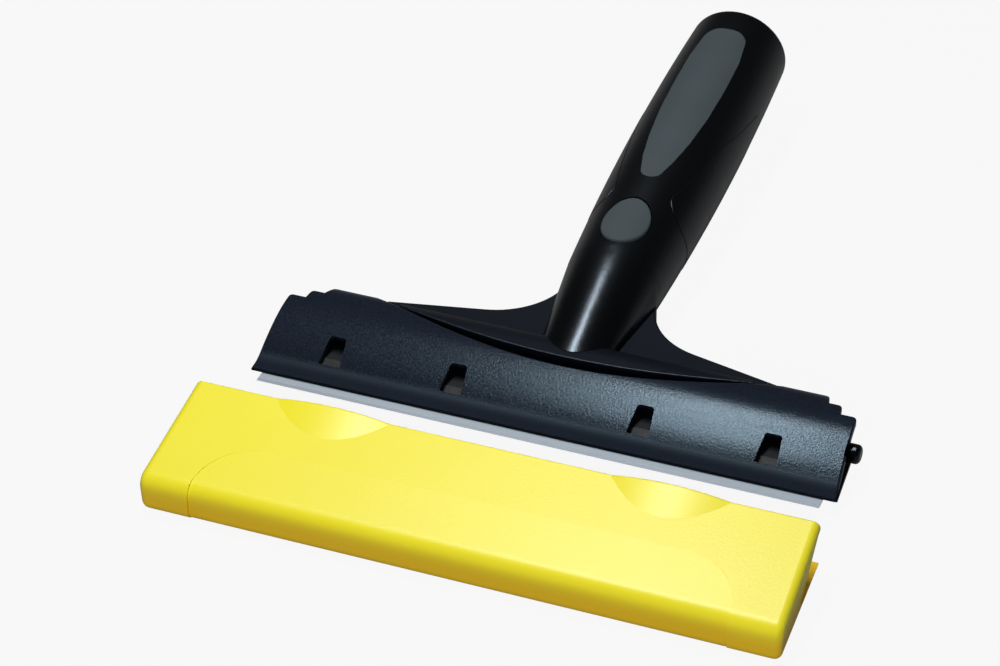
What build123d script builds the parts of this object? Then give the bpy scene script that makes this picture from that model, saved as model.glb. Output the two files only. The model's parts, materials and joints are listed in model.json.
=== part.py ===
from build123d import *
from math import asin, atan2, cos, pi, radians, sin, sqrt, tan
import os

# Window scraper: a handle with a wide blade head, and the cap that covers its blade.
# Millimetres. X runs along the blade, +Y from the cutting edge to the handle's end, +Z up.
# The origin is on the table, under the middle of scraper and cap as they lie.
# Head and cap sizes along Y are given back from the cutting edge, which lies at this Y:
cutting_edge_y = -57.25
fit_gap = 0.05              # play between pieces that are fixed to each other
cut_margin = 1.0            # how far a cutting shape stands out of what it cuts

# Blade and the plate under it
blade_length = 150.0
blade_depth = 22.0
blade_thickness = 0.25
bevel_depth = 1.0
bevel_tip = 0.05
blade_floor = 3.8           # height of the blade's underside
blade_top = blade_floor + blade_thickness
plate_thickness = 1.0
plate_floor = blade_floor - plate_thickness
plate_front = 5.0
plate_rear = 32.0
plate_tongue = (46.0, 35.0)  # half width and rear of the plate's part under the wings
end_stop_span = (75.3, 77.2)  # low stops beside the blade's ends
end_stop_depth = 3.0
stop_rib_front = 22.3       # rib behind the blade
stop_rib_thickness = 1.2
stop_rib_top = 6.8
stop_rib_length = 140.0
rear_wall_front = 30.0      # low walls that close the head behind, outside the wings
rear_wall_thickness = 1.5
rear_wall_span = (55.0, 66.5)
rear_wall_top = 10.9

# Head cover
cover_wall = 1.8
cover_lip = (3.3, 5.0)      # front edge: distance back from the cutting edge, height
cover_lip_floor = 4.1
cover_knee = (6.6, 5.54)    # where the flat lip ends and the slope rises
cover_knee_radius = 8.0
cover_brow = (17.0, 11.54)  # where the bowed slope rounds over
cover_crown = (27.4, 13.75)  # where it is level
cover_fall = (34.4, 11.8)   # what it falls towards at its rear
cover_front_half = 78.2
cover_tiers = [(76.6, 25.9), (71.8, 29.3), (67.3, 33.4)]  # stepped rear corners: half width, rear
tier_slants = [0.45, 1.1]   # how far each step's side leans in
cover_rear_corner = (55.0, 33.4)
cover_rear_middle = 21.7
tier_corner_radius = 1.2
cover_edge_radius = 0.5
end_notch = (76.6, 16.5, 4.4)  # shallow notch above the knob: from, middle, width
window_places = [-58.46, -25.1, 25.1, 58.46]
window_foot_width = 5.9
window_height = 8.2
window_side_angle = 84.7
window_corner = 0.8         # of the two upper corners
window_middle = 12.0        # distance back of the windows' middles

# Blade clamp: strip, sliding bar with wedge pads, knob and spring
strip_half = 69.0
strip_front = 9.3
strip_rear = 22.0
strip_floor = 4.1
strip_top = 5.1
strip_step = (17.4, 6.4)    # rear and top of its raised front part
strip_nose = (5.0, 11.9)    # height of its front edge, and where it reaches the raised top
bar_front = 17.6
bar_rear = 22.0
bar_floor = 5.2
bar_top = 7.4
bar_left = -66.0
bar_right = 73.0
bar_end_length = 4.0
bar_end_top = 8.6
pad_half = 5.0
pad_height = 8.7            # height of each pad's top at its middle
pad_slope = tan(radians(8))
ramp_gap = 0.06
ramp_top = 11.6
knob_centre = (19.8, 7.0)
knob_radius = 2.5
knob_end = 79.7
knob_dome = 1.2
spigot_radius = 1.3
spigot_length = 3.5
spring_pin_radius = 0.8
spring_pin_length = 2.5
spring_wall = (-75.5, -74.0)
bar_spring_coil = 1.35
bar_spring_wire = 0.25
bar_spring_turns = 7

# Screws
plate_screw_places = [(-38.0, 31.0), (-15.0, 31.0), (15.0, 31.0), (38.0, 31.0)]
cover_screw_places = [(-61.0, 27.0), (61.0, 27.0)]
plate_screw_tip = 8.2       # how high the screws reach
cover_screw_tip = 10.6
screw_radius = 1.2
screw_head_radius = 2.1
screw_point = 0.9
screw_slot_width = 0.7
screw_slot_length = 3.0
screw_slot_depth = 0.5
boss_radius = 2.6

# Handle: barrel, neck, web and wings
handle_lean = 6.0           # degrees that the handle rises from the table
foot_back = 26.0            # where the handle's own axis is measured from
foot_height = 7.65
# Neck: distance along the axis, half width, half height
neck_ovals = [(0.5, 9.1, 5.7), (12.0, 10.5, 8.5), (24.0, 11.85, 11.2), (30.0, 12.5, 12.4)]
barrel_start = (36.0, 13.17)  # distance along the axis, radius
barrel_middle = (95.0, 15.0)
barrel_end = (142.0, 13.84)
rim_rounding = 1.8
socket_radius = 11.0
socket_length = 60.0
socket_chamfer = 1.0
pilot_radius = 7.5
pilot_start = 36.0
web_floor = 3.85
web_front_middle = 24.2
web_front_corner = (53.5, 32.6)
ledge_rear = 32.4           # the ledge falls backwards like the cover
ledge_half = 48.0
ledge_edge_radius = 0.4
wing_top = 9.6
wing_tip = (53.5, 36.9)
wing_bend = (28.6, 42.35)
wing_root = (13.0, 58.5)
wing_edge_radius = 0.8
underside_ramp = [(35.3, 3.85), (45.0, 0.0)]
core_span = (20.0, 33.0)    # hollows under the wings: from and to, out from the middle
core_depth = (29.5, 34.0)
core_top = 7.3
flank_rise = 0.1            # long drop-shaped swellings on the handle's flanks
flank_circles = [(60.5, 5.4, 6.6), (60.5, -5.4, 6.6), (84.5, 0.0, 9.0), (112.0, 0.0, 2.0)]

# Thumb grip
grip_depth = 1.2
grip_circles = [(0.0, 67.0, 3.0), (0.0, 73.2, 4.5), (0.0, 82.0, 5.9), (0.0, 94.0, 6.95), (0.0, 107.0, 7.3),
                (0.0, 119.0, 7.15), (-1.9, 127.9, 4.2), (1.9, 127.9, 4.2)]

# Lock button, latch ring and their springs, measured along and up from the handle's axis
button_place = 46.3
button_half = (6.3, 8.9)
button_floor = 10.65
button_crown = 14.2
button_edge_radius = 0.7
button_gap = 0.2
button_travel = 2.0
pocket_floor = 8.5
ring_radius = 9.5
ring_bore = 7.8
ring_thickness = 2.5
ring_rise = 1.8
ring_flat = 10.6
slot_gap = 0.2
button_spring_offset = 5.0
button_spring_pocket = (2.0, 12.0)   # radius, top
button_spring_coil = 1.5
button_spring_wire = 0.2
button_spring_turns = 3

# Blade cap
cap_half = 82.55            # at the front's upper edge; the ends lean in from there
cap_flare = 0.0474          # how the ends close in towards the mouth and towards the floor
cap_draft = 0.053
cap_inside_half = 79.2
cap_lip = -17.2
cap_front = -54.0
cap_front_height = 10.1
cap_mouth = (-20.7, 17.25)
cap_floor = 2.0
cap_inside_front = (-50.8, 7.9)
cap_inside_mouth = (-20.7, 14.9)
cap_rounding = 4.2          # of the upper front edge
cap_foot_rounding = 3.0
cap_end_rounding = 1.9
cap_mouth_rounding = 0.5
notch_vertex = -37.6
notch_angle = 39.8
notch_rounding = 1.5
lift_places = [-44.0, 44.0]
lift_radius = 72.0
lift_height = 1.7
lift_root = 0.7             # how deep a lift is set into the wall at the mouth
lift_length = 9.2
panel_half = 69.0           # the front panel is set back a little from the border around it
panel_back = -37.5
panel_corner = 15.0
panel_sink = 1.2            # degrees, about the panel's back edge
panel_set_back = 0.3

# Planes of the head: from above, and in section with local x back from the edge and y up
plan = Plane(origin=(0, cutting_edge_y, 0))
section = Plane(origin=(0, cutting_edge_y, 0), x_dir=(0, 1, 0), z_dir=(1, 0, 0))
frontal = Plane(origin=(0, cutting_edge_y, 0), x_dir=(1, 0, 0), z_dir=(0, -1, 0))

# Planes of the handle: from its side, from above and across it
lean = radians(handle_lean)
handle_foot = (0, cutting_edge_y + foot_back, foot_height)
handle_along = (0, cos(lean), sin(lean))
handle_up = (0, -sin(lean), cos(lean))
handle_side = Plane(origin=handle_foot, x_dir=handle_along, z_dir=(1, 0, 0))
handle_above = Plane(origin=handle_foot, x_dir=(1, 0, 0), z_dir=handle_up)
handle_across = Plane(origin=handle_foot, x_dir=(-1, 0, 0), z_dir=handle_along)
handle_axis = Axis(handle_foot, handle_along)

os.makedirs("parts", exist_ok=True)


def behind(edge):
    """How far back from the cutting edge the middle of an edge lies."""
    return edge.center().Y - cutting_edge_y


def barrel_arc(proud=0.0):
    """The handle's long outline seen from the side, moved outwards by a given amount."""
    return ThreePointArc(
        (barrel_start[0], barrel_start[1] + proud),
        (barrel_middle[0], barrel_middle[1] + proud),
        (barrel_end[0], barrel_end[1] + proud),
    )


def barrel_band(inner, outer):
    """The band between two copies of the handle's outline, for revolving."""
    with BuildSketch(handle_side) as band:
        with BuildLine():
            low = barrel_arc(inner)
            high = barrel_arc(outer)
            Line(low @ 0, high @ 0)
            Line(low @ 1, high @ 1)
        make_face()
    return band.sketch


def circle_hull(plane, circles, inset=0.0):
    """The outline stretched round circles given by place and radius, drawn in by an inset."""
    with BuildSketch(plane) as hull:
        with BuildLine():
            for across, along, radius in circles:
                CenterArc((across, along), radius - inset, 0, 360)
        make_hull()
    return hull.sketch


def biarc(start, start_direction, end, end_direction):
    """Two arcs that leave start and reach end in the given directions and join smoothly."""
    chord = end - start
    bend = 1 - start_direction.dot(end_direction)
    reach = chord.dot(start_direction + end_direction)
    arm = (sqrt(reach * reach + 2 * bend * chord.dot(chord)) - reach) / (2 * bend)
    start_control = start + start_direction * arm
    end_control = end - end_direction * arm
    joint = (start_control + end_control) / 2
    TangentArc(start, joint, tangent=start_direction)
    TangentArc(joint, end, tangent=end_control - start_control)


def coil_wire(base, coil_radius, rise, turns):
    """A coil's centre line, wound up a plane's normal in quarter turns."""
    quarters = 4 * turns
    slope = rise / (2 * pi * turns)

    def point(quarter):
        angle = quarter * pi / 2
        return base.from_local_coords(
            Vector(coil_radius * cos(angle), coil_radius * sin(angle), rise * quarter / quarters))

    def direction(quarter):
        angle = quarter * pi / 2
        ahead = Vector(-coil_radius * sin(angle), coil_radius * cos(angle), slope)
        return (base.from_local_coords(ahead) - base.origin).normalized()

    for quarter in range(quarters):
        biarc(point(quarter), direction(quarter), point(quarter + 1), direction(quarter + 1))


def coil_spring(base, coil_radius, wire_radius, height, turns):
    """A round wire spring that stands on a plane and fills the given height."""
    with BuildPart() as spring:
        with BuildLine() as path:
            coil_wire(base.offset(wire_radius), coil_radius, height - 2 * wire_radius, turns)
        with BuildSketch(Plane(origin=path.line @ 0, z_dir=path.line % 0)):
            Circle(wire_radius)
        sweep()
    return spring


def screws(places, tip):
    """Countersunk screws that enter from under the back plate and reach up to a height."""
    with BuildPart() as group:
        for across, back in places:
            with BuildSketch(Plane(origin=(across, cutting_edge_y + back, plate_floor), x_dir=(1, 0, 0),
                                   z_dir=(0, -1, 0))):
                with BuildLine():
                    Polyline(
                        (0, 0),
                        (screw_head_radius, 0),
                        (screw_radius, screw_head_radius - screw_radius),
                        (screw_radius, tip - plate_floor - screw_point),
                        (0, tip - plate_floor),
                        close=True,
                    )
                make_face()
            revolve(axis=Axis((across, cutting_edge_y + back, 0), (0, 0, 1)))
        with BuildSketch(plan.offset(plate_floor)):
            with Locations(*places):
                Rectangle(screw_slot_length, screw_slot_width)
                Rectangle(screw_slot_width, screw_slot_length)
        extrude(amount=screw_slot_depth, mode=Mode.SUBTRACT)
    return group


def screw_circles(places):
    """Outlines of the holes that the screws pass through."""
    with BuildSketch(plan.offset(plate_floor)) as circles:
        with Locations(*places):
            Circle(screw_radius + fit_gap)
    return circles.sketch


# Blade: flat strip with a bevel on both faces
with BuildPart() as blade:
    with BuildSketch(section):
        with BuildLine():
            blade_middle = blade_floor + blade_thickness / 2
            Polyline(
                (0, blade_middle - bevel_tip / 2),
                (0, blade_middle + bevel_tip / 2),
                (bevel_depth, blade_top),
                (blade_depth, blade_top),
                (blade_depth, blade_floor),
                (bevel_depth, blade_floor),
                close=True,
            )
        make_face()
    extrude(amount=blade_length / 2, both=True)
blade.part.label = "blade"
export_step(blade.part, "parts/blade.step")

stepped_side = [
    cover_tiers[0],
    (cover_tiers[1][0] + tier_slants[0], cover_tiers[0][1]),
    cover_tiers[1],
    (cover_tiers[2][0] + tier_slants[1], cover_tiers[1][1]),
]

# Back plate: follows the cover's stepped outline, with stops for the blade and rear walls
with BuildPart() as back_plate:
    with BuildSketch(plan.offset(plate_floor)):
        with BuildLine():
            Polyline(
                (0, plate_front),
                (cover_front_half, plate_front),
                *stepped_side,
                (cover_tiers[2][0], plate_rear),
                (plate_tongue[0], plate_rear),
                plate_tongue,
                (0, plate_tongue[1]),
            )
            mirror(about=Plane.YZ)
        make_face()
    extrude(amount=plate_thickness)
    with BuildSketch(plan.offset(blade_floor)):
        stop_middle = (sum(end_stop_span) / 2, plate_front + end_stop_depth / 2)
        with Locations(stop_middle, (-stop_middle[0], stop_middle[1])):
            Rectangle(end_stop_span[1] - end_stop_span[0], end_stop_depth)
    extrude(amount=blade_thickness)
    with BuildSketch(plan.offset(blade_floor)):
        with Locations((0, stop_rib_front + stop_rib_thickness / 2)):
            Rectangle(stop_rib_length, stop_rib_thickness)
    extrude(amount=stop_rib_top - blade_floor)
    with BuildSketch(plan.offset(blade_floor)):
        wall_middle = sum(rear_wall_span) / 2
        wall_back = rear_wall_front + rear_wall_thickness / 2
        with Locations((-wall_middle, wall_back), (wall_middle, wall_back)):
            Rectangle(rear_wall_span[1] - rear_wall_span[0], rear_wall_thickness)
    extrude(amount=rear_wall_top - blade_floor)
    with BuildSketch(plan.offset(plate_floor)):
        with Locations(*plate_screw_places, *cover_screw_places):
            Circle(screw_head_radius + fit_gap)
    extrude(amount=screw_head_radius - screw_radius, taper=45, mode=Mode.SUBTRACT)
    every_screw = screw_circles(plate_screw_places + cover_screw_places)
    extrude(every_screw, amount=plate_thickness, mode=Mode.SUBTRACT)
back_plate.part.label = "back_plate"
export_step(back_plate.part, "parts/back_plate.step")

# Pressure strip: lies on the blade under the sliding bar, and rises in front of it under the windows
with BuildPart() as pressure_strip:
    with BuildSketch(section):
        with BuildLine():
            Polyline(
                (strip_front, strip_floor),
                (strip_rear, strip_floor),
                (strip_rear, strip_top),
                (strip_step[0], strip_top),
                strip_step,
                (strip_nose[1], strip_step[1]),
                (strip_front, strip_nose[0]),
                close=True,
            )
        make_face()
    extrude(amount=strip_half, both=True)
pressure_strip.part.label = "pressure_strip"
export_step(pressure_strip.part, "parts/pressure_strip.step")

# Front cover: a bent shell with four windows, ramps for the wedge pads and two screw bosses
brow = Vector(*cover_brow)
slope_chord = Vector(*cover_knee) - brow
brow_tilt = 2 * atan2(cover_crown[1] - cover_brow[1], cover_crown[0] - cover_brow[0])
brow_inward = Vector(sin(brow_tilt), -cos(brow_tilt))
brow_downward = (-cos(brow_tilt), -sin(brow_tilt))
slope_radius = slope_chord.length ** 2 / (2 * slope_chord.dot(brow_inward))
slope_centre = brow + brow_inward * slope_radius
inner_brow = brow + brow_inward * cover_wall
inner_rise = cover_lip_floor - slope_centre.Y
inner_foot_back = slope_centre.X - sqrt((slope_radius - cover_wall) ** 2 - inner_rise ** 2)
inner_foot = (inner_foot_back, cover_lip_floor)
inner_crown = (cover_crown[0], cover_crown[1] - cover_wall)
inner_fall = (cover_fall[0], cover_fall[1] - cover_wall)

with BuildPart() as front_cover:
    with BuildSketch(section) as cover_section:
        with BuildLine():
            Polyline(inner_foot, (cover_lip[0], cover_lip_floor), cover_lip, cover_knee)
            TangentArc(cover_brow, cover_knee, tangent=brow_downward)
            TangentArc(cover_crown, cover_brow, tangent=(-1, 0))
            TangentArc(cover_crown, cover_fall, tangent=(1, 0))
            Line(cover_fall, inner_fall)
            TangentArc(inner_crown, inner_fall, tangent=(1, 0))
            TangentArc(inner_crown, inner_brow, tangent=(-1, 0))
            TangentArc(inner_brow, inner_foot, tangent=brow_downward)
        make_face()
        knee_corner = cover_section.vertices().sort_by_distance((*cover_knee, 0))[0]
        fillet(knee_corner, radius=cover_knee_radius)
    extrude(amount=cover_front_half, both=True)
    for window_place in window_places:
        with BuildSketch(frontal.offset(-bar_front - fit_gap)):
            with BuildLine():
                Polyline(
                    (window_place - pad_half, pad_height + pad_half * pad_slope + ramp_gap),
                    (window_place + pad_half, pad_height - pad_half * pad_slope + ramp_gap),
                    (window_place + pad_half, ramp_top),
                    (window_place - pad_half, ramp_top),
                    close=True,
                )
            make_face()
        extrude(amount=-(bar_rear - bar_front - 2 * fit_gap))
    with BuildSketch(plan.offset(bar_floor)):
        with Locations((sum(spring_wall) / 2, (bar_front + bar_rear) / 2)):
            Rectangle(spring_wall[1] - spring_wall[0], bar_rear - bar_front)
    extrude(amount=ramp_top - bar_floor)
    with BuildSketch(plan.offset(web_floor)):
        with Locations(*cover_screw_places):
            Circle(boss_radius)
    extrude(amount=inner_crown[1] - web_floor + fit_gap)
    with BuildSketch(plan) as outline:
        with BuildLine():
            Polyline(
                (0, 0),
                (cover_front_half, 0),
                *stepped_side,
                cover_tiers[2],
                cover_rear_corner,
            )
            TangentArc((0, cover_rear_middle), cover_rear_corner, tangent=(1, 0))
            mirror(about=Plane.YZ)
        make_face()
        outer_corners = outline.vertices().filter_by(
            lambda corner: (abs(corner.X), corner.Y) in cover_tiers)
        fillet(outer_corners, radius=tier_corner_radius)
    extrude(amount=cover_crown[1] + cover_wall, mode=Mode.INTERSECT)
    rear_edges = front_cover.edges().filter_by(Axis.Z, reverse=True).filter_by(
        lambda edge: edge.center().Z > inner_crown[1] + fit_gap
        and behind(edge) > cover_rear_middle - fit_gap
        and abs(behind(edge) - cover_crown[0]) > fit_gap
        and abs(edge.center().X) < cover_tiers[0][0])
    fillet(rear_edges, radius=cover_edge_radius)
    window_tilt = asin((slope_centre.X - window_middle) / slope_radius)
    window_height_here = slope_centre.Y + slope_radius * cos(window_tilt)
    window_plane = Plane(
        origin=(0, cutting_edge_y + window_middle, window_height_here),
        x_dir=(1, 0, 0),
        z_dir=(0, -sin(window_tilt), cos(window_tilt)),
    )
    with BuildSketch(window_plane):
        with Locations(*[(place, 0) for place in window_places]):
            Trapezoid(window_foot_width, window_height, window_side_angle)
        fillet(vertices().group_by(Axis.Y)[-1], radius=window_corner)
    extrude(amount=cover_wall + cut_margin, both=True, mode=Mode.SUBTRACT)
    with BuildSketch(plan):
        with Locations((end_notch[0], end_notch[1])):
            Rectangle(end_notch[0], end_notch[2], align=(Align.MIN, Align.CENTER))
    extrude(amount=cover_crown[1], mode=Mode.SUBTRACT)
    extrude(screw_circles(cover_screw_places), amount=cover_screw_tip - plate_floor, mode=Mode.SUBTRACT)
front_cover.part.label = "front_cover"
export_step(front_cover.part, "parts/front_cover.step")

# Release bar: slides along the head, with a wedge pad under each ramp
with BuildPart() as release_bar:
    with BuildSketch(frontal.offset(-bar_front)):
        with BuildLine():
            Polyline(
                (bar_left, bar_floor),
                (bar_right, bar_floor),
                (bar_right, bar_end_top),
                (bar_right - bar_end_length, bar_end_top),
                (bar_right - bar_end_length, bar_top),
                (bar_left + bar_end_length, bar_top),
                (bar_left + bar_end_length, bar_end_top),
                (bar_left, bar_end_top),
                close=True,
            )
        make_face()
        for window_place in window_places:
            with BuildLine():
                Polyline(
                    (window_place - pad_half, bar_floor),
                    (window_place - pad_half, pad_height + pad_half * pad_slope),
                    (window_place + pad_half, pad_height - pad_half * pad_slope),
                    (window_place + pad_half, bar_floor),
                    close=True,
                )
            make_face()
    extrude(amount=-(bar_rear - bar_front))
    with BuildSketch(section.offset(bar_right)):
        with Locations(knob_centre):
            Circle(spigot_radius)
    extrude(amount=spigot_length)
    with BuildSketch(section.offset(bar_left)):
        with Locations(knob_centre):
            Circle(spring_pin_radius)
    extrude(amount=-spring_pin_length)
release_bar.part.label = "release_bar"
export_step(release_bar.part, "parts/release_bar.step")

# Release knob: pressed onto the bar's spigot, with a domed end
with BuildPart() as release_knob:
    with BuildSketch(section.offset(bar_right + fit_gap)):
        with Locations(knob_centre):
            Circle(knob_radius)
    extrude(amount=knob_end - bar_right - fit_gap)
    fillet(release_knob.faces().sort_by(Axis.X)[-1].edges(), radius=knob_dome)
    with BuildSketch(section.offset(bar_right + fit_gap)):
        with Locations(knob_centre):
            Circle(spigot_radius + fit_gap)
    extrude(amount=spigot_length + fit_gap, mode=Mode.SUBTRACT)
release_knob.part.label = "release_knob"
export_step(release_knob.part, "parts/release_knob.step")

# Bar spring: between the cover's inner wall and the bar's left end
bar_spring_base = Plane(
    origin=(spring_wall[1] + fit_gap, cutting_edge_y + knob_centre[0], knob_centre[1]),
    x_dir=(0, 1, 0),
    z_dir=(1, 0, 0),
)
bar_spring_length = bar_left - spring_wall[1] - 2 * fit_gap
bar_spring = coil_spring(bar_spring_base, bar_spring_coil, bar_spring_wire, bar_spring_length,
                         bar_spring_turns)
bar_spring.part.label = "bar_spring"
export_step(bar_spring.part, "parts/bar_spring.step")

# Screws that hold the back plate to the handle's web and to the cover
plate_screws = screws(plate_screw_places, plate_screw_tip)
plate_screws.part.label = "plate_screws"
export_step(plate_screws.part, "parts/plate_screws.step")
cover_screws = screws(cover_screw_places, cover_screw_tip)
cover_screws.part.label = "cover_screws"
export_step(cover_screws.part, "parts/cover_screws.step")

# Shapes of the handle's surface: the grip's pocket on top, and a long raised drop on each flank
with BuildPart() as grip_pocket:
    revolve(barrel_band(-grip_depth, cut_margin), axis=handle_axis)
    extrude(circle_hull(handle_above, grip_circles), amount=2 * barrel_end[1], mode=Mode.INTERSECT)

with BuildPart() as flank_drops:
    revolve(barrel_band(-cut_margin, flank_rise), axis=handle_axis)
    drop = circle_hull(handle_side, flank_circles)
    extrude(drop, amount=2 * barrel_end[1], both=True, mode=Mode.INTERSECT)

# Ledge: the strip across the web that carries on the cover's top behind a groove
barrel_length = barrel_end[0]
web_front_sag = web_front_corner[1] - web_front_middle
web_front_radius = (web_front_corner[0] ** 2 + web_front_sag ** 2) / (2 * web_front_sag)
ledge_sag = web_front_radius - sqrt(web_front_radius ** 2 - ledge_half ** 2)
ledge_corner = (ledge_half, web_front_middle + ledge_sag)
with BuildPart() as ledge:
    with BuildSketch(section):
        with BuildLine():
            Polyline(
                cover_crown,
                (web_front_middle, cover_crown[1]),
                (web_front_middle, web_floor),
                (cover_fall[0], web_floor),
                cover_fall,
            )
            TangentArc(cover_crown, cover_fall, tangent=(1, 0))
        make_face()
    extrude(amount=ledge_half, both=True)
    with BuildSketch(plan):
        with BuildLine():
            TangentArc((0, web_front_middle), ledge_corner, tangent=(1, 0))
            Polyline(ledge_corner, (ledge_half, ledge_rear), (0, ledge_rear))
            mirror(about=Plane.YZ)
        make_face()
    extrude(amount=cover_crown[1] + cut_margin, mode=Mode.INTERSECT)
    ledge_edges = ledge.edges().filter_by(
        lambda edge: edge.center().Z > cover_fall[1]
        and abs(edge.center().X) < ledge_half - fit_gap
        and abs(behind(edge) - cover_crown[0]) > fit_gap)
    fillet(ledge_edges, radius=ledge_edge_radius)

# Handle body: web with wings, ledge, oval neck and a barrel with a pole socket
with BuildPart() as handle_body:
    with BuildSketch(plan.offset(web_floor)):
        with BuildLine():
            TangentArc((0, web_front_middle), web_front_corner, tangent=(1, 0))
            Polyline(web_front_corner, wing_tip, wing_bend)
            TangentArc(wing_bend, wing_root, tangent=Vector(*wing_bend) - Vector(*wing_tip))
            Line(wing_root, (0, wing_root[1]))
            mirror(about=Plane.YZ)
        make_face()
    extrude(amount=wing_top - web_floor)
    wing_edges = handle_body.edges().filter_by(Plane.XY).filter_by(
        lambda edge: wing_tip[1] < behind(edge) < wing_root[1] - fit_gap)
    fillet(wing_edges, radius=wing_edge_radius)
    add(ledge.part)
    for along, half_width, half_height in neck_ovals:
        with BuildSketch(handle_across.offset(along)):
            Ellipse(half_width, half_height)
    with BuildSketch(handle_across.offset(barrel_start[0])):
        Circle(barrel_start[1])
    loft()
    with BuildSketch(handle_side):
        with BuildLine():
            barrel_arc()
            Polyline(barrel_start, (barrel_start[0], 0), (barrel_length, 0), barrel_end)
        make_face()
    revolve(axis=handle_axis)
    fillet(handle_body.faces().sort_by(Axis.Y)[-1].edges(), radius=rim_rounding)
    with BuildSketch(section):
        with BuildLine():
            Polyline(
                (0, underside_ramp[0][1]),
                *underside_ramp,
                (barrel_length, underside_ramp[1][1]),
                (barrel_length, -barrel_end[1]),
                (0, -barrel_end[1]),
                close=True,
            )
        make_face()
    extrude(amount=barrel_end[1], both=True, mode=Mode.SUBTRACT)
    with BuildSketch(handle_across.offset(barrel_length)):
        Circle(socket_radius)
    extrude(amount=-socket_length, mode=Mode.SUBTRACT)
    with BuildSketch(handle_across.offset(pilot_start)):
        Circle(pilot_radius)
    extrude(amount=barrel_length - pilot_start - socket_length, mode=Mode.SUBTRACT)
    chamfer(handle_body.edges().filter_by(GeomType.CIRCLE).sort_by(handle_axis)[-1], length=socket_chamfer)
    with BuildSketch(plan.offset(web_floor)):
        core_middle = (sum(core_span) / 2, sum(core_depth) / 2)
        with Locations(core_middle, (-core_middle[0], core_middle[1])):
            Rectangle(core_span[1] - core_span[0], core_depth[1] - core_depth[0])
    extrude(amount=core_top - web_floor, mode=Mode.SUBTRACT)
    with BuildSketch(handle_above.offset(pocket_floor)):
        with Locations((0, button_place)):
            Ellipse(button_half[0] + button_gap, button_half[1] + button_gap)
    extrude(amount=barrel_end[1], mode=Mode.SUBTRACT)
    with BuildSketch(handle_across.offset(button_place - ring_thickness / 2 - slot_gap)):
        with Locations((0, ring_rise), (0, ring_rise - button_travel)):
            Circle(ring_radius + slot_gap)
        with Locations((0, ring_rise - button_travel / 2)):
            Rectangle(2 * (ring_radius + slot_gap), button_travel)
    extrude(amount=ring_thickness + 2 * slot_gap, mode=Mode.SUBTRACT)
    extrude(screw_circles(plate_screw_places), amount=plate_screw_tip - plate_floor, mode=Mode.SUBTRACT)
    add(grip_pocket.part, mode=Mode.SUBTRACT)
    add(flank_drops.part)
handle_body.part.label = "handle_body"
export_step(handle_body.part, "parts/handle_body.step")

# Thumb grip: soft teardrop that fills its pocket flush
with BuildPart() as thumb_grip:
    revolve(barrel_band(fit_gap - grip_depth, 0), axis=handle_axis)
    teardrop = circle_hull(handle_above, grip_circles, inset=fit_gap)
    extrude(teardrop, amount=2 * barrel_end[1], mode=Mode.INTERSECT)
thumb_grip.part.label = "thumb_grip"
export_step(thumb_grip.part, "parts/thumb_grip.step")

# Lock button: oval, crowned like the handle, with two spring pockets underneath
spring_places = [(0, button_place - button_spring_offset), (0, button_place + button_spring_offset)]
with BuildPart() as lock_button:
    with BuildSketch(handle_above.offset(button_floor)):
        with Locations((0, button_place)):
            Ellipse(*button_half)
    extrude(amount=button_crown - button_floor + cut_margin)
    with BuildSketch(handle_across.offset(button_place)):
        Circle(button_crown)
    extrude(amount=2 * button_half[1], both=True, mode=Mode.INTERSECT)
    fillet(lock_button.faces().sort_by(Axis.Z)[-1].edges(), radius=button_edge_radius)
    with BuildSketch(handle_above.offset(button_floor)):
        with Locations(*spring_places):
            Circle(button_spring_pocket[0])
    extrude(amount=button_spring_pocket[1] - button_floor, mode=Mode.SUBTRACT)
lock_button.part.label = "lock_button"
export_step(lock_button.part, "parts/lock_button.step")

# Latch ring: hangs under the button, and its lower side stands in the pole's way
with BuildPart() as latch_ring:
    with BuildSketch(handle_across.offset(button_place - ring_thickness / 2)):
        with Locations((0, ring_rise)):
            Circle(ring_radius)
            Circle(ring_bore, mode=Mode.SUBTRACT)
        with Locations((0, ring_flat)):
            Rectangle(2 * ring_radius, ring_radius, align=(Align.CENTER, Align.MIN), mode=Mode.SUBTRACT)
    extrude(amount=ring_thickness)
latch_ring.part.label = "latch_ring"
export_step(latch_ring.part, "parts/latch_ring.step")

# Button springs: one each side of the ring, in the button's pockets
button_spring_length = button_spring_pocket[1] - pocket_floor - 2 * fit_gap
button_springs = []
for across, along in spring_places:
    spring_foot = handle_above.from_local_coords((across, along, pocket_floor + fit_gap))
    spring_base = Plane(origin=spring_foot, x_dir=(1, 0, 0), z_dir=handle_up)
    spring = coil_spring(spring_base, button_spring_coil, button_spring_wire, button_spring_length,
                         button_spring_turns)
    button_springs.append(spring)
button_spring_front, button_spring_rear = button_springs
button_spring_front.part.label = "button_spring_front"
export_step(button_spring_front.part, "parts/button_spring_front.step")
button_spring_rear.part.label = "button_spring_rear"
export_step(button_spring_rear.part, "parts/button_spring_rear.step")

wall_rise = (cap_mouth[1] - cap_front_height) / (cap_mouth[0] - cap_front)


def cap_outline():
    """The cap's outer section, running a little past its mouth."""
    beyond = cap_lip + cap_rounding
    with BuildSketch(section) as outline:
        with BuildLine():
            Polyline(
                (beyond, 0),
                (cap_front, 0),
                (cap_front, cap_front_height),
                (beyond, cap_front_height + (beyond - cap_front) * wall_rise),
                close=True,
            )
        make_face()
        fillet(outline.vertices().sort_by(Axis.X)[:2].sort_by(Axis.Y)[-1], radius=cap_rounding)
        fillet(outline.vertices().sort_by(Axis.X)[:2].sort_by(Axis.Y)[0], radius=cap_foot_rounding)
    return outline.sketch


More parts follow.
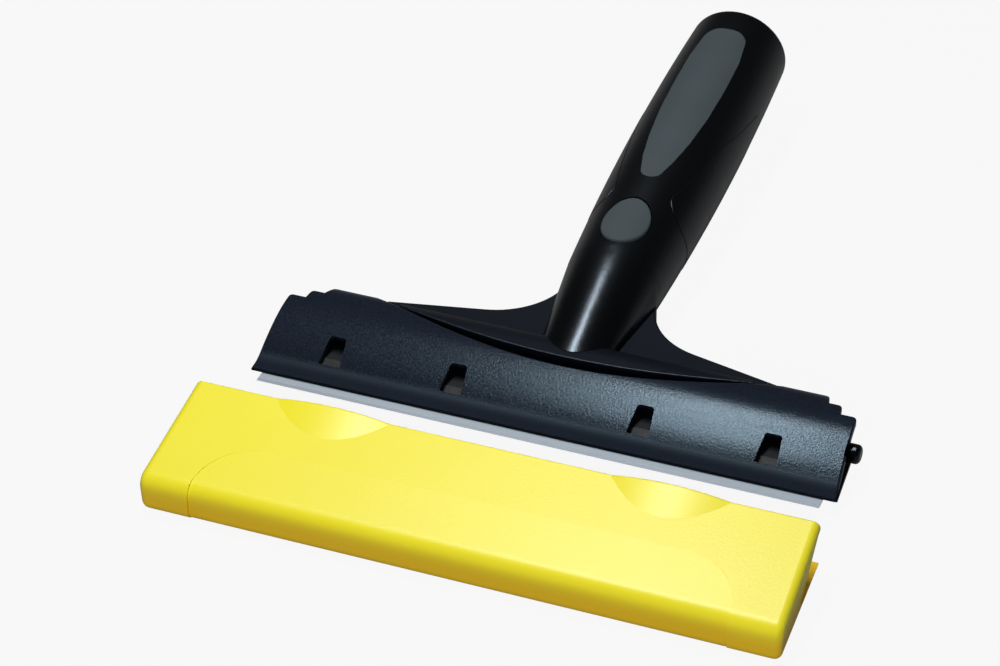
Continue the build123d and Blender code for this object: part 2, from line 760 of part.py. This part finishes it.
# The sliver by which the cap's front panel is set back: nothing at its back edge, most at its foot
panel_back_height = cap_front_height + wall_rise * (panel_back - cap_front)
panel_back_edge = Axis((0, cutting_edge_y + panel_back, panel_back_height), (1, 0, 0))
with BuildPart() as panel_sliver:
    with BuildSketch(plan):
        with Locations((0, panel_back)):
            Rectangle(2 * panel_half, 2 * (panel_back - cap_front), align=(Align.CENTER, Align.MAX))
        fillet(vertices().group_by(Axis.Y)[-1], radius=panel_corner)
    extrude(amount=2 * cap_front_height)
    panel_outline = cap_outline().rotate(panel_back_edge, panel_sink)
    along_wall = Location((0, panel_set_back, panel_set_back * wall_rise))
    extrude(panel_outline.moved(along_wall), amount=cap_half, both=True, mode=Mode.SUBTRACT)

# Cap: a trough with notched ends that slides over the blade
mouth_rise = Vector(0, cap_mouth[0] - cap_lip, cap_mouth[1])
mouth_plane = Plane(
    origin=(0, cutting_edge_y + cap_lip, 0),
    x_dir=(1, 0, 0),
    z_dir=(0, mouth_rise.Z, -mouth_rise.Y),
)
wall_angle = atan2(cap_mouth[1] - cap_front_height, cap_mouth[0] - cap_front)
lift_angle = wall_angle + atan2(lift_height, lift_length)
inside_rise = (cap_inside_mouth[1] - cap_inside_front[1]) / (cap_inside_mouth[0] - cap_inside_front[0])
notch_rise = tan(radians(notch_angle))
notch_reach = (cap_inside_front[1] - cap_floor + inside_rise * (notch_vertex - cap_inside_front[0])) / (
    notch_rise - inside_rise)
notch_top = (notch_vertex + notch_reach, cap_floor + notch_rise * notch_reach)


def inside_height(back):
    """Height of the cap's inner roof at a distance back from the cutting edge."""
    return cap_inside_front[1] + inside_rise * (back - cap_inside_front[0])


with BuildPart() as cap:
    extrude(cap_outline(), amount=cap_half + cut_margin, both=True)
    for side in (-1, 1):
        end_plane = Plane(
            origin=(side * cap_half, cutting_edge_y + cap_front, cap_front_height),
            z_dir=(side, cap_flare, -cap_draft),
        )
        split(bisect_by=end_plane, keep=Keep.BOTTOM)
    for end in (cap.faces().sort_by(Axis.X)[0], cap.faces().sort_by(Axis.X)[-1]):
        fillet(end.edges().sort_by(Axis.Y)[:-1], radius=cap_end_rounding)
    add(panel_sliver.part, mode=Mode.SUBTRACT)
    for lift_place in lift_places:
        lift_plane = Plane(
            origin=(lift_place, cutting_edge_y + cap_mouth[0], cap_mouth[1]),
            x_dir=(1, 0, 0),
            z_dir=(0, -cos(lift_angle), -sin(lift_angle)),
        )
        with BuildSketch(lift_plane.offset(-lift_height)):
            with Locations((0, lift_height - lift_radius)):
                Circle(lift_radius)
            with Locations((0, -lift_root)):
                Rectangle(lift_radius, lift_radius, align=(Align.CENTER, Align.MIN), mode=Mode.INTERSECT)
        extrude(amount=lift_length + lift_height)
    split(bisect_by=mouth_plane, keep=Keep.BOTTOM)
    with BuildSketch(section):
        with BuildLine():
            Polyline(
                (cap_inside_front[0], cap_floor),
                (0, cap_floor),
                (0, inside_height(0)),
                cap_inside_front,
                close=True,
            )
        make_face()
    extrude(amount=cap_inside_half, both=True, mode=Mode.SUBTRACT)
    with BuildSketch(section) as notch:
        with BuildLine():
            Polyline(
                (notch_vertex, cap_floor),
                (0, cap_floor),
                (0, inside_height(0)),
                notch_top,
                close=True,
            )
        make_face()
        fillet(notch.vertices().sort_by(Axis.X)[0], radius=notch_rounding)
    extrude(amount=2 * cap_half, both=True, mode=Mode.SUBTRACT)
    mouth_edges = cap.edges().filter_by(
        lambda edge: edge.center().Z > cap_mouth[1] - fit_gap and behind(edge) > cap_mouth[0] - cut_margin)
    fillet(mouth_edges, radius=cap_mouth_rounding)
cap.part.label = "cap"
export_step(cap.part, "parts/cap.step")
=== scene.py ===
import bpy
import json
from math import cos, radians, sin
from mathutils import Matrix, Vector

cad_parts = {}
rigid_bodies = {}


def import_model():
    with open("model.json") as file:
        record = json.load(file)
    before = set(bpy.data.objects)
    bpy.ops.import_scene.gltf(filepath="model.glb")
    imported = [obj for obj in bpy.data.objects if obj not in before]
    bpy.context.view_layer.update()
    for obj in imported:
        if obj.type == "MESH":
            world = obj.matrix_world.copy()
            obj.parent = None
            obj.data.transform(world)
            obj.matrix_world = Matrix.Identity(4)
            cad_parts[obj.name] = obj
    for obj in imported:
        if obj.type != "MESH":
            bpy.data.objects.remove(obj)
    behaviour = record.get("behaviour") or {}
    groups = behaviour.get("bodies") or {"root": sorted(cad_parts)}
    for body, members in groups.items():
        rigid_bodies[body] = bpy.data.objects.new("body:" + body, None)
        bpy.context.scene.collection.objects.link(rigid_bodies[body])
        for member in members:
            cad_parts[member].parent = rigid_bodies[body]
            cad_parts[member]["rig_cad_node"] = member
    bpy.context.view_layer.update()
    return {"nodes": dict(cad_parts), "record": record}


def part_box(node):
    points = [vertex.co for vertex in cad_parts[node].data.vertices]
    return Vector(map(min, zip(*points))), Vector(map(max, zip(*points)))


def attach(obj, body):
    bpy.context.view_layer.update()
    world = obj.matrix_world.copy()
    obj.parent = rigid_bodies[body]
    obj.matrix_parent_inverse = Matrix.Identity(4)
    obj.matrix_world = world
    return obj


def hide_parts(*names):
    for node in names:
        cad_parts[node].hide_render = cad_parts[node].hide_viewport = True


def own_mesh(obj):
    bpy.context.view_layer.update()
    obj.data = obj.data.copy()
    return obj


# Looks of a window scraper and its blade cap. Metres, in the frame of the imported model.
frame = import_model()
nodes = frame["nodes"]
scene = bpy.context.scene

# The viewing angle: where the camera stands, from the middle of the cutting edge, and how it is turned
cutting_edge = Vector((0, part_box("blade")[0][1], 0))
camera_place = cutting_edge + Vector((0.24633, -0.63895, 0.53723))
camera_azimuth = radians(21.686)
camera_elevation = radians(36.100)
camera_roll = radians(-0.862)
camera_lens = 125.11
camera_sensor = 36

# The handle's axis: where it starts over the head, and its rise from the table
handle_foot = cutting_edge + Vector((0, 0.026, 0.00765))
handle_lean = radians(6)

# Where the handle's finish changes, back from the cutting edge and out from the middle
foot_back = 0.0267            # the foot of the barrel, in the middle
foot_bend = 90                # how the foot's line bends back to each side
foot_blur = 0.0003
barrel_back = 0.0373          # a place on the barrel, its half width there and how that grows
barrel_half_width = 0.0104
barrel_flare = 0.08
barrel_blur = 0.0004
web_reach = 0.06              # the web's end, both back and out
web_blur = 0.003
neck_back = (0.03, 0.07)      # where the barrel's gloss gives way to satin

# Where the other finishes change
lip_back = 0.0095             # the cover's flat lip ends, back from the cutting edge
lip_blur = 0.0045
button_shade_edge = (0.0131, 0.0133)     # painted shade on the button's rim where it turns down, ending this far out from the handle's axis
bevel_back = 0.001            # the blade's ground bevel ends, back from the cutting edge
bevel_blur = 0.00015
cap_shade_heights = (0.004, 0.0105)    # painted shade deepens the cap's colour below these heights

# Depths of the mould grain
grain_depth = 0.00004
cap_grain_depth = 0.00003

# The stage: its grey, and the share of white that the camera and mirror images get to see
stage_grey = 0.25
white_seen = 0.92
white_mirrored = 0.1
floor_side = 8
wall_radius = 3.9
wall_height = 0.7
wall_sides = 64
surround_strength = 0.05


class Value:
    """A socket of a material. Arithmetic on it adds Math nodes."""

    def __init__(self, finish, socket):
        self.finish = finish
        self.socket = socket

    def maths(self, operation, *numbers):
        return self.finish.node("Math", {"operation": operation}, dict(enumerate(numbers)))

    def __add__(self, other):
        return self.maths("ADD", self, other)

    def __sub__(self, other):
        return self.maths("SUBTRACT", self, other)

    def __rsub__(self, other):
        return self.maths("SUBTRACT", other, self)

    def __mul__(self, other):
        return self.maths("MULTIPLY", self, other)

    def __pow__(self, other):
        return self.maths("POWER", self, other)

    def __abs__(self):
        return self.maths("ABSOLUTE", self)

    def at_least(self, other):
        return self.maths("MAXIMUM", self, other)

    def clipped(self, low, high):
        """The value spread from 0 at low to 1 at high, smoothly."""
        limits = {"From Min": low, "From Max": high}
        return self.finish.node("MapRange", {"interpolation_type": "SMOOTHSTEP"}, {"Value": self, **limits})

    __radd__ = __add__
    __rmul__ = __mul__


class Finish:
    """A material under construction."""

    def __init__(self, name):
        self.material = bpy.data.materials.new(name)
        self.material.use_nodes = True
        self.nodes = self.material.node_tree.nodes
        self.links = self.material.node_tree.links
        self.nodes.clear()
        self.output = self.nodes.new("ShaderNodeOutputMaterial")
        self.place = self.node("TexCoord", output="Object")

    def node(self, kind, settings={}, inputs={}, output=0):
        """Adds a node, sets its settings and then the values or links of its sockets."""
        made = self.nodes.new("ShaderNode" + kind)
        for name, setting in settings.items():
            setattr(made, name, setting)
        for name, value in inputs.items():
            self.fill(made.inputs[name], value)
        return Value(self, made.outputs[output])

    def fill(self, socket, value):
        if isinstance(value, Value):
            self.links.new(value.socket, socket)
        else:
            socket.default_value = value

    def noise(self, scale, detail=2.0, roughness=0.5, place=None):
        inputs = {"Vector": place or self.place, "Scale": scale, "Detail": detail, "Roughness": roughness}
        return self.node("TexNoise", {}, inputs)

    def axes(self):
        """Object coordinates as three separate values: across, along and up."""
        split = self.nodes.new("ShaderNodeSeparateXYZ")
        self.links.new(self.place.socket, split.inputs["Vector"])
        return [Value(self, axis) for axis in split.outputs]

    def back_from_edge(self):
        """Distance back from the cutting edge, along the table."""
        return self.axes()[1] - cutting_edge.y

    def from_handle_axis(self):
        """Distance from the handle's long axis, which rises backwards from its foot."""
        across, along, high = self.axes()
        back = along - handle_foot.y
        rise = high - handle_foot.z
        over = rise * cos(handle_lean) - back * sin(handle_lean)
        return (across * across + over * over) ** 0.5

    def stretched(self, scale):
        """Object coordinates, stretched along each axis."""
        return self.node("Mapping", {}, {"Vector": self.place, "Scale": scale})

    def blended(self, mask, low, high):
        """A colour between two, by a mask."""
        return self.node("Mix", {"data_type": "RGBA"}, {"Factor": mask, "A": low, "B": high}, output=2)

    def bump(self, height, depth):
        return self.node("Bump", {}, {"Height": height, "Distance": depth, "Strength": 1.0})

    def principled(self, **inputs):
        """The surface shader. Inputs are named by its sockets, with _ for a space."""
        named = {name.replace("_", " "): value for name, value in inputs.items()}
        surface = self.node("BsdfPrincipled", {}, named)
        self.links.new(surface.socket, self.output.inputs["Surface"])
        return self.material


def colour(red, green, blue):
    """A colour socket's value, from linear red, green and blue."""
    return (red, green, blue, 1)


def satin_black():
    """Handle plastic: smooth deep black on the barrel, dulled by a mould grain on the wings and ledge."""
    finish = Finish("satin_black")
    across = finish.axes()[0]
    back = finish.back_from_edge()
    outward = abs(across)
    barrel_half = barrel_half_width + barrel_flare * (back - barrel_back)
    beside_barrel = (outward - barrel_half).clipped(0, barrel_blur)
    before_foot = (foot_back + foot_bend * across * across - back).clipped(0, foot_blur)
    short_of_knob = (web_reach - outward).clipped(0, web_blur)
    short_of_grip = (web_reach - back).clipped(0, web_blur)
    on_web = beside_barrel.at_least(before_foot) * short_of_knob * short_of_grip
    up_neck = back.clipped(*neck_back)
    fine = finish.noise(3200)
    coarse = finish.noise(2100, 3)
    return finish.principled(
        Base_Color=finish.blended(on_web, colour(0.0015, 0.0015, 0.0018), colour(0.002, 0.003, 0.0066)),
        Roughness=0.18 + 0.06 * finish.noise(60) + 0.13 * up_neck + 0.2 * on_web,
        Specular_IOR_Level=0.36,
        Specular_Tint=colour(0.7, 0.85, 1.0),
        Normal=finish.bump(fine * 0.3 + coarse * on_web, grain_depth),
    )


def grained_black():
    """Head plastic: black with a fine speckled mould grain, dull on the flat lip in front."""
    finish = Finish("grained_black")
    on_lip = (lip_back - finish.back_from_edge()).clipped(0, lip_blur)
    grain = finish.noise(1700, 3, 0.6)
    speckle = finish.noise(2000, 2, 0.6).clipped(0.3, 0.7)
    return finish.principled(
        Base_Color=finish.blended(speckle, colour(0.0078, 0.0108, 0.019), colour(0.0122, 0.0168, 0.028)),
        Roughness=0.16 + 0.08 * speckle + 0.75 * on_lip,
        Specular_IOR_Level=0.21,
        Specular_Tint=colour(0.62, 0.88, 1.05),
        Normal=finish.bump(grain, grain_depth),
    )


def soft_grey():
    """Rubber of the thumb grip and the lock button, with painted shade where the button's rim turns down.
    """
    finish = Finish("soft_grey")
    grain = finish.noise(2500)
    cloud = finish.noise(90, 2)
    clear_of_painted_shade = finish.from_handle_axis().clipped(*button_shade_edge)
    body = finish.blended(cloud, colour(0.048, 0.063, 0.071), colour(0.057, 0.075, 0.084))
    return finish.principled(
        # painted shade: near-black colour on the button's rim where it turns down
        Base_Color=finish.blended(clear_of_painted_shade, colour(0.004, 0.004, 0.005), body),
        Roughness=0.7,
        Specular_IOR_Level=0.3,
        Normal=finish.bump(grain, grain_depth),
    )


def ground_steel():
    """Blade: pale steel, ground along its length, with a darker bevel at the edge."""
    finish = Finish("ground_steel")
    lines = finish.noise(1, 3, place=finish.stretched((40, 4000, 4000)))
    bevel = (finish.back_from_edge() - bevel_back).clipped(bevel_blur, -bevel_blur)
    return finish.principled(
        Base_Color=finish.blended(bevel, colour(0.56, 0.65, 0.74), colour(0.4, 0.46, 0.53)),
        Metallic=0.4,
        Roughness=0.35 + 0.15 * lines,
    )


def dark_strip():
    """Blackened spring strip over the blade."""
    finish = Finish("dark_strip")
    return finish.principled(
        Base_Color=colour(0.007, 0.009, 0.012),
        Roughness=0.45 + 0.2 * finish.noise(500),
        Specular_IOR_Level=0.3,
    )


def bright_wire():
    """Springs and screws."""
    finish = Finish("bright_wire")
    return finish.principled(
        Base_Color=colour(0.55, 0.55, 0.57),
        Metallic=1.0,
        Roughness=0.25 + 0.15 * finish.noise(900),
    )


def latch_grey():
    """Latch ring inside the handle."""
    finish = Finish("latch_grey")
    return finish.principled(
        Base_Color=colour(0.1, 0.1, 0.105),
        Roughness=0.45 + 0.1 * finish.noise(400),
    )


def satin_yellow():
    """Cap plastic: satin yellow, lightly clouded, with painted shade that deepens its colour towards its
    foot.
    """
    finish = Finish("satin_yellow")
    high = finish.axes()[2]
    cloud = finish.noise(38, 4, 0.6)
    grain = finish.noise(1500, 3)
    wall = finish.blended(cloud, colour(0.9, 0.8, 0.02), colour(0.94, 0.85, 0.035))
    return finish.principled(
        # painted shade: deeper orange towards the cap's foot, where less light falls
        Base_Color=finish.blended(high.clipped(*cap_shade_heights), colour(0.88, 0.56, 0.008), wall),
        Roughness=0.34 + 0.06 * cloud,
        Specular_IOR_Level=0.5,
        Normal=finish.bump(grain, cap_grain_depth),
    )


slot_finishes = {
    "handle_plastic": satin_black(),
    "grained_plastic": grained_black(),
    "grip_rubber": soft_grey(),
    "latch_plastic": latch_grey(),
    "blade_steel": ground_steel(),
    "strip_steel": dark_strip(),
    "spring_steel": bright_wire(),
    "cap_plastic": satin_yellow(),
}
for subpart in frame["record"]["subparts"]:
    mesh = nodes[subpart["node"]].data
    mesh.materials.clear()
    mesh.materials.append(slot_finishes[subpart["material_slot"]])


def squashed_spring(node):
    """A copy of a CAD spring, attached to the scraper in place of the hidden original, with a mesh of its
    own.
    """
    bpy.ops.object.select_all(action="DESELECT")
    bpy.context.view_layer.objects.active = nodes[node]
    nodes[node].select_set(True)
    bpy.ops.object.duplicate()
    spring = bpy.context.object
    spring.name = node + "_wire"
    del spring["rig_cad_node"]
    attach(spring, "scraper")
    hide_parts(node)
    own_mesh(spring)


for joint in frame["record"]["behaviour"]["joints"]:
    for deforming in joint.get("deforming_nodes", []):
        squashed_spring(deforming["node"])


def pale_stage():
    """A pale floor and a low wall far round it, which read as white and keep the object's shadow."""
    finish = Finish("pale_stage")
    straight = finish.node("LightPath", output="Is Camera Ray")
    through = finish.node("LightPath", output="Is Transmission Ray")
    mirrored = finish.node("LightPath", output="Is Glossy Ray")
    seen = straight.at_least(through) * white_seen
    matt = finish.node("BsdfDiffuse", {}, {"Color": colour(stage_grey, stage_grey, stage_grey)})
    white = finish.node("Emission", {}, {"Color": colour(1, 1, 1), "Strength": 1.0})
    share = seen.at_least(mirrored * white_mirrored)
    mixed = finish.node("MixShader", {}, {0: share, 1: matt, 2: white})
    finish.links.new(mixed.socket, finish.output.inputs["Surface"])
    bpy.ops.object.select_all(action="DESELECT")
    bpy.ops.mesh.primitive_plane_add(size=floor_side)
    floor = bpy.context.object
    floor.name = "floor"
    bpy.ops.mesh.primitive_cylinder_add(vertices=wall_sides, radius=wall_radius, depth=wall_height,
                                        end_fill_type="NOTHING", location=(0, 0, wall_height / 2))
    far_wall = bpy.context.object
    far_wall.name = "far_wall"
    for piece in (floor, far_wall):
        piece.data.materials.append(finish.material)


def soft_light(name, place, turn, size, power):
    """A rectangular lamp: its turn from facing straight down, its two sides and its power."""
    bpy.ops.object.light_add(type="AREA", location=place, rotation=turn)
    lamp = bpy.context.object
    lamp.name = name
    lamp.data.shape = "RECTANGLE"
    lamp.data.size, lamp.data.size_y = size
    lamp.data.energy = power
    return lamp


def studio():
    """A dim surround, a soft lamp overhead and a wide weak one in front, which shows in no mirror image."""
    world = bpy.data.worlds.new("studio")
    scene.world = world
    world.use_nodes = True
    background = world.node_tree.nodes["Background"]
    background.inputs["Color"].default_value = colour(1, 1, 1)
    background.inputs["Strength"].default_value = surround_strength
    soft_light(
        "lamp_over",
        place=cutting_edge + Vector((-0.095, 0.07, 0.6)),
        turn=(0, 0, 0),
        size=(0.07, 0.34),
        power=2.9,
    )
    front = soft_light(
        "lamp_front",
        place=cutting_edge + Vector((0.2, -0.9, 0.3)),
        turn=(radians(72), 0, radians(12)),
        size=(1.2, 0.4),
        power=5.0,
    )
    front.visible_glossy = False


def stand_camera():
    """The camera, turned by azimuth, elevation and a slight roll."""
    back = Vector((
        sin(camera_azimuth) * cos(camera_elevation),
        -cos(camera_azimuth) * cos(camera_elevation),
        sin(camera_elevation),
    ))
    bpy.ops.object.camera_add(location=camera_place)
    camera = bpy.context.object
    level = (-back).to_track_quat("-Z", "Y").to_matrix()
    camera.rotation_euler = (level @ Matrix.Rotation(camera_roll, 3, "Z")).to_euler()
    camera.data.lens = camera_lens
    camera.data.sensor_width = camera_sensor
    scene.camera = camera


pale_stage()
studio()
stand_camera()
scene.view_settings.view_transform = "Standard"
